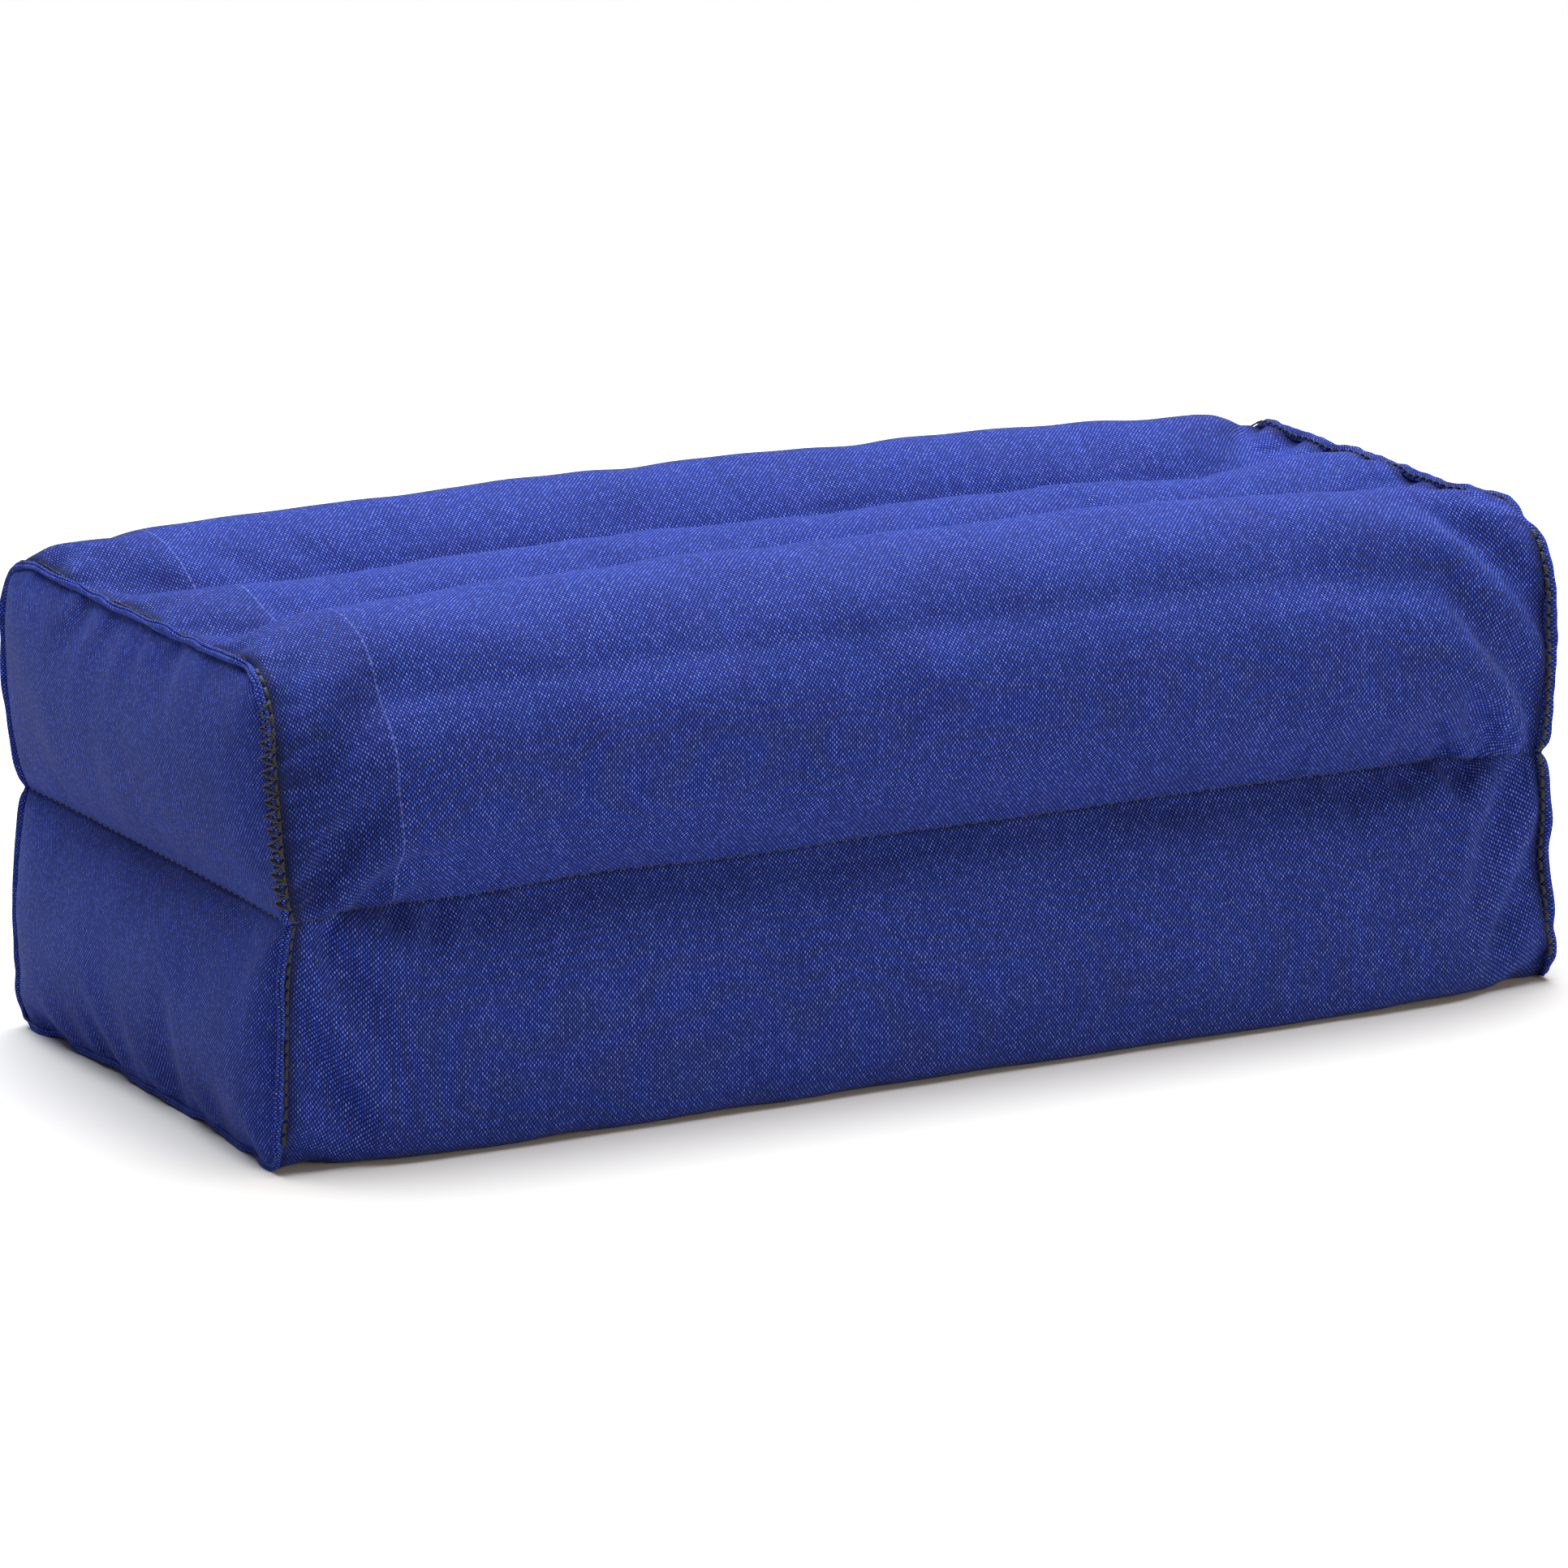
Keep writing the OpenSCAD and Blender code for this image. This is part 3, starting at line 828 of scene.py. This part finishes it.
def cotton(name, thread_colour, wrap=False, upper=False, grain=1.0):
    """Plain-weave cotton: dark weft and crossings, faded patches, pale specks of painted highlight and a
    soft sheen.

    A wrap has painted shade beside its end seams. The upper one also has the selvedge line and the folds
    of the edge that was closed by hand, with painted shade in the folds. The grain is how strongly the
    weave shows.
    """
    n = Nodes(name)
    uv, u, v, height, warp_on_top, warp_no, weft_no = weave(n)
    # each thread has a tone that changes slowly along it
    step, slow = 0.731, 55.0
    warp_place = n.vector(n.maths("MULTIPLY", warp_no, step), n.maths("MULTIPLY", v, slow))
    weft_place = n.vector(n.maths("MULTIPLY", u, slow), n.maths("MULTIPLY", weft_no, step), 5.0)
    warp_tone, weft_tone = n.noise(warp_place, 1.0, 2.0), n.noise(weft_place, 1.0, 2.0)
    tone = n.maths("ADD", n.maths("MULTIPLY", warp_on_top, warp_tone),
                   n.maths("MULTIPLY", n.maths("SUBTRACT", 1.0, warp_on_top), weft_tone))
    tone = n.remap(tone, 0.25, 0.75, 0.86, 1.14)
    tone = n.maths("MULTIPLY", tone, n.maths("MULTIPLY_ADD", warp_on_top, 1.5 * grain, 1 - 0.75 * grain))
    # each crossing has a tone of its own, and some show a pale lit thread as a painted highlight
    crossing = n.tree.nodes.new("ShaderNodeTexWhiteNoise")
    n.put(crossing.inputs["Vector"], n.vector(warp_no, weft_no))
    lit = crossing.outputs["Value"]
    tone = n.maths("MULTIPLY", tone, n.maths("MULTIPLY_ADD", lit, 0.5 * grain, 1 - 0.25 * grain))
    # long thin streaks, both ways
    thin, long = 900.0, 14.0
    for across, up, place, part in ((thin, long, 2.0, 0.05), (long, thin, 9.0, 0.04)):
        where = n.vector(n.maths("MULTIPLY", u, across), n.maths("MULTIPLY", v, up), place)
        streaks = n.remap(n.noise(where, 1.0, 3.0), 0.2, 0.8, 1 - part, 1 + part)
        tone = n.maths("MULTIPLY", tone, streaks)
    patch = n.noise(uv, 34.0, 4.0, 0.6)
    tone = n.maths("MULTIPLY", tone, n.remap(patch, 0.3, 0.7, 0.93, 1.07))
    colour = n.mix(n.remap(n.noise(uv, 60.0, 3.0), 0.48, 0.70), thread_colour,
                   tuple(c * k for c, k in zip(thread_colour, FADED)))
    # painted highlight: pale specks on the tops of some warp threads
    pale = n.maths("MULTIPLY", n.maths("POWER", lit, 3.0), n.maths("MULTIPLY", warp_on_top, 0.14 * grain))
    colour = n.mix(pale, colour, PALE_BLUE)
    colour = n.scaled(colour, tone)
    colour = n.mix(n.remap(height, 0.35, 0.85), GAP_NAVY, colour)
    creases = n.maths("MULTIPLY", n.noise(uv, 320.0, 3.0), 0.6)
    if upper:
        line = n.maths("LESS_THAN", n.maths("ABSOLUTE", n.maths("SUBTRACT", u, SELVEDGE_X)), 0.25 * MM)
        broken = n.noise(n.vector(0.0, n.maths("MULTIPLY", v, 700.0)), 1.0, 1.0)
        line = n.maths("MULTIPLY", line, n.remap(broken, 0.45, 0.60, 0.05, 0.32))
        colour = n.mix(line, colour, PALE_BLUE)
        colour = n.scaled(colour, n.remap(u, SELVEDGE_X - 1 * MM, SELVEDGE_X + 1 * MM, 0.84, 1.0))
        # small folds beside the edge that was closed by hand, with painted shade in their valleys
        folds = n.noise(n.vector(n.maths("MULTIPLY", u, 45.0), n.maths("MULTIPLY", v, 430.0)), 1.0, 2.0)
        near = n.remap(u, -SEAM_X + 1 * MM, -SEAM_X + 24 * MM, 1.0, 0.0)
        near = n.maths("MULTIPLY", near, n.remap(v, -98 * MM, -84 * MM, 1.0, 0.0))
        creases = n.maths("MULTIPLY_ADD", n.maths("MULTIPLY", folds, near), 9.0, creases)
        # painted shade: the fold valleys are darkened towards the gap colour
        fold_shade = n.maths("MULTIPLY", n.remap(folds, 0.40, 0.60, 0.6, 0.0), near)
        colour = n.mix(fold_shade, colour, GAP_NAVY)
    if wrap:
        # painted shade: the cloth is darkened close to the end seams, in the crease beside the seam
        # edges, where dark thread also shows
        seam_shade_and_thread = n.remap(n.maths("ABSOLUTE", u), SEAM_X - 4 * MM, SEAM_X - 0.5 * MM, 0.0, 0.75)
        colour = n.mix(seam_shade_and_thread, colour, GAP_NAVY)
    n.put(n.shader.inputs["Base Color"], colour)
    n.put(n.shader.inputs["Roughness"], n.remap(height, 0.2, 0.9, 0.95, 0.78))
    n.shader.inputs["Specular IOR Level"].default_value = 0.15
    n.shader.inputs["Sheen Weight"].default_value = 0.05
    n.shader.inputs["Sheen Roughness"].default_value = 0.45
    n.shader.inputs["Sheen Tint"].default_value = (0.60, 0.75, 1.0, 1)
    n.bump(n.maths("ADD", height, creases), 0.14 * MM, 0.8)
    return n.material


def sewing_thread(name, colour):
    """Twisted sewing thread: slanting strands, a little gloss."""
    n = Nodes(name)
    uv, u, v = n.cloth_uv()
    twist = n.maths("SINE", n.maths("MULTIPLY", n.maths("ADD", u, n.maths("MULTIPLY", v, 0.8)), 9000.0))
    tone = n.remap(n.noise(uv, 700.0, 2.0), 0.3, 0.7, 0.75, 1.3)
    tone = n.maths("MULTIPLY", tone, n.remap(twist, -1.0, 1.0, 0.6, 1.25))
    n.put(n.shader.inputs["Base Color"], n.scaled(colour, tone))
    n.put(n.shader.inputs["Roughness"], n.remap(twist, -1.0, 1.0, 0.75, 0.5))
    n.shader.inputs["Sheen Weight"].default_value = 0.1
    n.bump(twist, 0.05 * MM)
    return n.material


def kapok(name):
    """Cream plant down: soft tufts and fine fibres."""
    n = Nodes(name)
    where = n.tree.nodes.new("ShaderNodeTexCoord").outputs["Object"]
    tufts = n.noise(where, 90.0, 5.0, 0.65)
    fibres = n.noise(where, 900.0, 3.0, 0.7)
    colour = n.mix(n.remap(tufts, 0.3, 0.7), CREAM_SHADE, CREAM)
    colour = n.scaled(colour, n.remap(fibres, 0.2, 0.8, 0.82, 1.08))
    n.put(n.shader.inputs["Base Color"], colour)
    n.put(n.shader.inputs["Roughness"], n.remap(fibres, 0.2, 0.8, 0.85, 1.0))
    n.shader.inputs["Sheen Weight"].default_value = 0.5
    n.bump(n.maths("ADD", tufts, n.maths("MULTIPLY", fibres, 0.3)), 1.2 * MM)
    return n.material


# ---------- The pieces ----------
def build():
    """The whole cushion."""
    index = lattice()
    x = inflate(index, 640)
    rng = np.random.default_rng(SEED + 1)
    faces = outer_faces(index)
    normals = unit(sum_at(faces, quad_normals(x, faces), len(x)))

    upper_cotton = cotton("royal_blue_cotton", THREAD_BLUE, wrap=True, upper=True)
    lower_cotton = cotton("royal_blue_cotton_lower", THREAD_BLUE, wrap=True)
    # painted shade: the end panels get a darker copy of the cotton, for the shade that falls on the ends
    shaded_end_cotton = cotton("royal_blue_cotton_ends_shaded", shade(THREAD_BLUE, 0.86), grain=0.9)
    # painted highlight: the seam edges get a lighter copy of the cotton, for the light on their ridges
    lip_highlight_cotton = cotton("folded_lip_highlight_cotton", shade(THREAD_BLUE, 1.15))
    inner_cotton = cotton("inner_cotton", UNWORN_BLUE)
    down = kapok("kapok")
    black_thread = sewing_thread("black_thread", BLACK)
    navy_thread = sewing_thread("navy_thread", NAVY)

    for side in LAYERS:
        make_wrap(x, normals, index, side, rng, upper_cotton if side == UP else lower_cotton)
        for end in SIDES:
            make_end(x, normals, index, side, end, rng, shaded_end_cotton)
            make_lip(x, normals, index, side, end, rng, lip_highlight_cotton)
        for channel in range(3):
            make_filling(x, index, side, channel, down)
        walls = walls_of(index, side)[BAFFLE_START:COLS + 1 - BAFFLE_START]
        for a, place in ((CHANNEL, "front"), (2 * CHANNEL, "back")):
            grid = walls[:, a]
            along = np.linspace(-1, 1, len(grid))[:, None] * (SEAM_X - 12 * MM)
            up = np.linspace(0, BAFFLE_H[side], ROWS + 1)[None]
            cut = np.stack(np.broadcast_arrays(along, up), -1)
            name = f"{LAYERS[side]}_{place}_baffle"
            flat_sheet(name + "_cloth", x[grid], cut, inner_cotton, name)
    along, across = stations()[:, None], np.linspace(-0.5, 0.5, ACROSS + 1)[None] * SHEET_W
    cut = np.stack(np.broadcast_arrays(along, across), -1)
    flat_sheet("waist_sheet_cloth", x[index[:, :, ROWS]], cut, inner_cotton, "waist_sheet")

    # the thread lines: along the grooves, round the waist and beside each end's seam edge
    for side in LAYERS:
        bodies = []
        for a in (CHANNEL, 2 * CHANNEL):
            line = walls_of(index, side)[BAFFLE_START:COLS + 1 - BAFFLE_START, a, -1]
            path, out = refine(x[line], 4, 0), refine(normals[line], 4, 0)
            made, section = dashes(path, out, 2.6 * MM, 3.6 * MM, 0.3 * MM, -0.1 * MM, 16 * MM,
                                   2 * SEAM_X - 44 * MM)
            bodies += made
        name = f"{LAYERS[side]}_channel_stitches"
        add_piece(name + "_thread", sweep(bodies, section, name), navy_thread, [name])
    bodies = []
    for line in (index[:, 0, ROWS], index[:, ACROSS, ROWS], index[0, :, ROWS], index[COLS, :, ROWS]):
        path, out = refine(x[line], 4, 0), refine(normals[line], 4, 0)
        made, section = dashes(path, out, 2.4 * MM, 3.4 * MM, 0.28 * MM, -0.05 * MM)
        bodies += made
    mesh = sweep(bodies, section, "waist_stitches")
    add_piece("waist_stitches_thread", mesh, navy_thread, ["waist_stitches"])
    for end in SIDES:
        bodies = []
        for side in LAYERS:
            path, out = seam_path(x, normals, index, side, end)
            keep = path[:, 2] > 4 * MM
            for part in np.split(np.arange(len(path)), np.flatnonzero(np.diff(keep.astype(int))) + 1):
                if keep[part[0]] and len(part) > 12:
                    made, section = dashes(path[part], out[part], 2.9 * MM, 3.1 * MM, 0.55 * MM,
                                           0.3 * MM, shift=-end * side * 1.2 * MM)
                    for centre, sides, outs, scale in made:
                        k = 1 if abs(centre[4, 1]) > HALF_W - 9 * MM else 0.45
                        bodies.append((centre, sides, outs, (k * scale[0], k * scale[1], scale[2])))
        name = f"{SIDES[end]}_end_stitches"
        add_piece(name + "_thread", sweep(bodies, section, name), black_thread, [name])

    # the hand stitches that closed the last opening, whipped over the flattened edge
    path, out = seam_path(x, normals, index, UP, -1)
    bodies, section = dashes(path, out, 2.3 * MM, 1.7 * MM, 0.6 * MM, 1.3 * MM, 4 * MM, 52 * MM,
                             tilt=1.7 * MM)
    mesh = sweep(bodies, section, "closing_stitches")
    add_piece("closing_stitches_thread", mesh, black_thread, ["closing_stitches"])


build()


# ---------- Floor, light and camera ----------
FLOOR_RADIUS = 1.6
WHITE = (1, 1, 1)
WARM = (1.0, 0.80, 0.42)


def make_floor():
    """A pale disc: beyond it the white world shows."""
    mesh = bpy.data.meshes.new("studio_floor")
    turn = np.linspace(0, 2 * np.pi, 96, endpoint=False)
    rim = FLOOR_RADIUS * np.stack([np.cos(turn), np.sin(turn), 0 * turn], 1)
    mesh.from_pydata(rim.tolist(), [], [list(range(len(rim)))])
    floor = bpy.data.objects.new("studio_floor", mesh)
    bpy.context.scene.collection.objects.link(floor)
    n = Nodes("white_floor")
    n.shader.inputs["Base Color"].default_value = (0.70, 0.70, 0.70, 1)
    n.shader.inputs["Roughness"].default_value = 0.9
    mesh.materials.append(n.material)


def make_light(name, place, aim, size, power, tint):
    """A round area light."""
    light = bpy.data.lights.new(name, "AREA")
    light.shape = "DISK"
    light.size = size
    light.energy = power
    light.color = tint
    lamp = bpy.data.objects.new(name, light)
    lamp.location = place
    lamp.rotation_euler = (Vector(aim) - Vector(place)).to_track_quat("-Z", "Y").to_euler()
    bpy.context.scene.collection.objects.link(lamp)


def make_world(camera_strength, light_strength):
    """White as the camera sees it, and a weaker white as light."""
    world = bpy.data.worlds.new("studio")
    world.use_nodes = True
    tree = world.node_tree
    back = tree.nodes["Background"]
    back.inputs[0].default_value = (1, 1, 1, 1)
    path = tree.nodes.new("ShaderNodeLightPath")
    node = tree.nodes.new("ShaderNodeMapRange")
    tree.links.new(path.outputs["Is Camera Ray"], node.inputs[0])
    node.inputs[3].default_value = light_strength
    node.inputs[4].default_value = camera_strength
    tree.links.new(node.outputs[0], back.inputs[1])
    bpy.context.scene.world = world


def make_camera(azimuth, elevation, roll, distance, lens, target):
    """Angles in degrees; the target is the point that the camera is aimed at."""
    camera = bpy.data.objects.new("camera", bpy.data.cameras.new("camera"))
    bpy.context.scene.collection.objects.link(camera)
    a, e, r = (math.radians(t) for t in (azimuth, elevation, roll))
    back = Vector((math.sin(a) * math.cos(e), -math.cos(a) * math.cos(e), math.sin(e)))
    right = Vector((0, 0, 1)).cross(back).normalized()
    up = back.cross(right)
    turned = right * math.cos(r) + up * math.sin(r)
    place = Matrix((turned, back.cross(turned), back)).transposed().to_4x4()
    place.translation = Vector(target) + back * distance
    camera.matrix_world = place
    camera.data.lens = lens
    camera.data.sensor_width = 36
    camera.data.clip_end = 60
    bpy.context.scene.camera = camera


make_floor()
make_world(camera_strength=1.0, light_strength=0.12)
make_light("key_light", place=(0.15, 0.42, 2.0), aim=(0.05, 0.1, 0), size=2.6, power=124, tint=WHITE)
make_light("front_fill", place=(0.75, -2.1, 0.45), aim=(0, 0, 0.03), size=1.6, power=27, tint=WARM)
make_camera(azimuth=-26.4, elevation=13.5, roll=-1.2, distance=2.174, lens=205.2,
            target=(-0.0004, 0, 0.0551))
bpy.context.scene.view_settings.view_transform = "Standard"
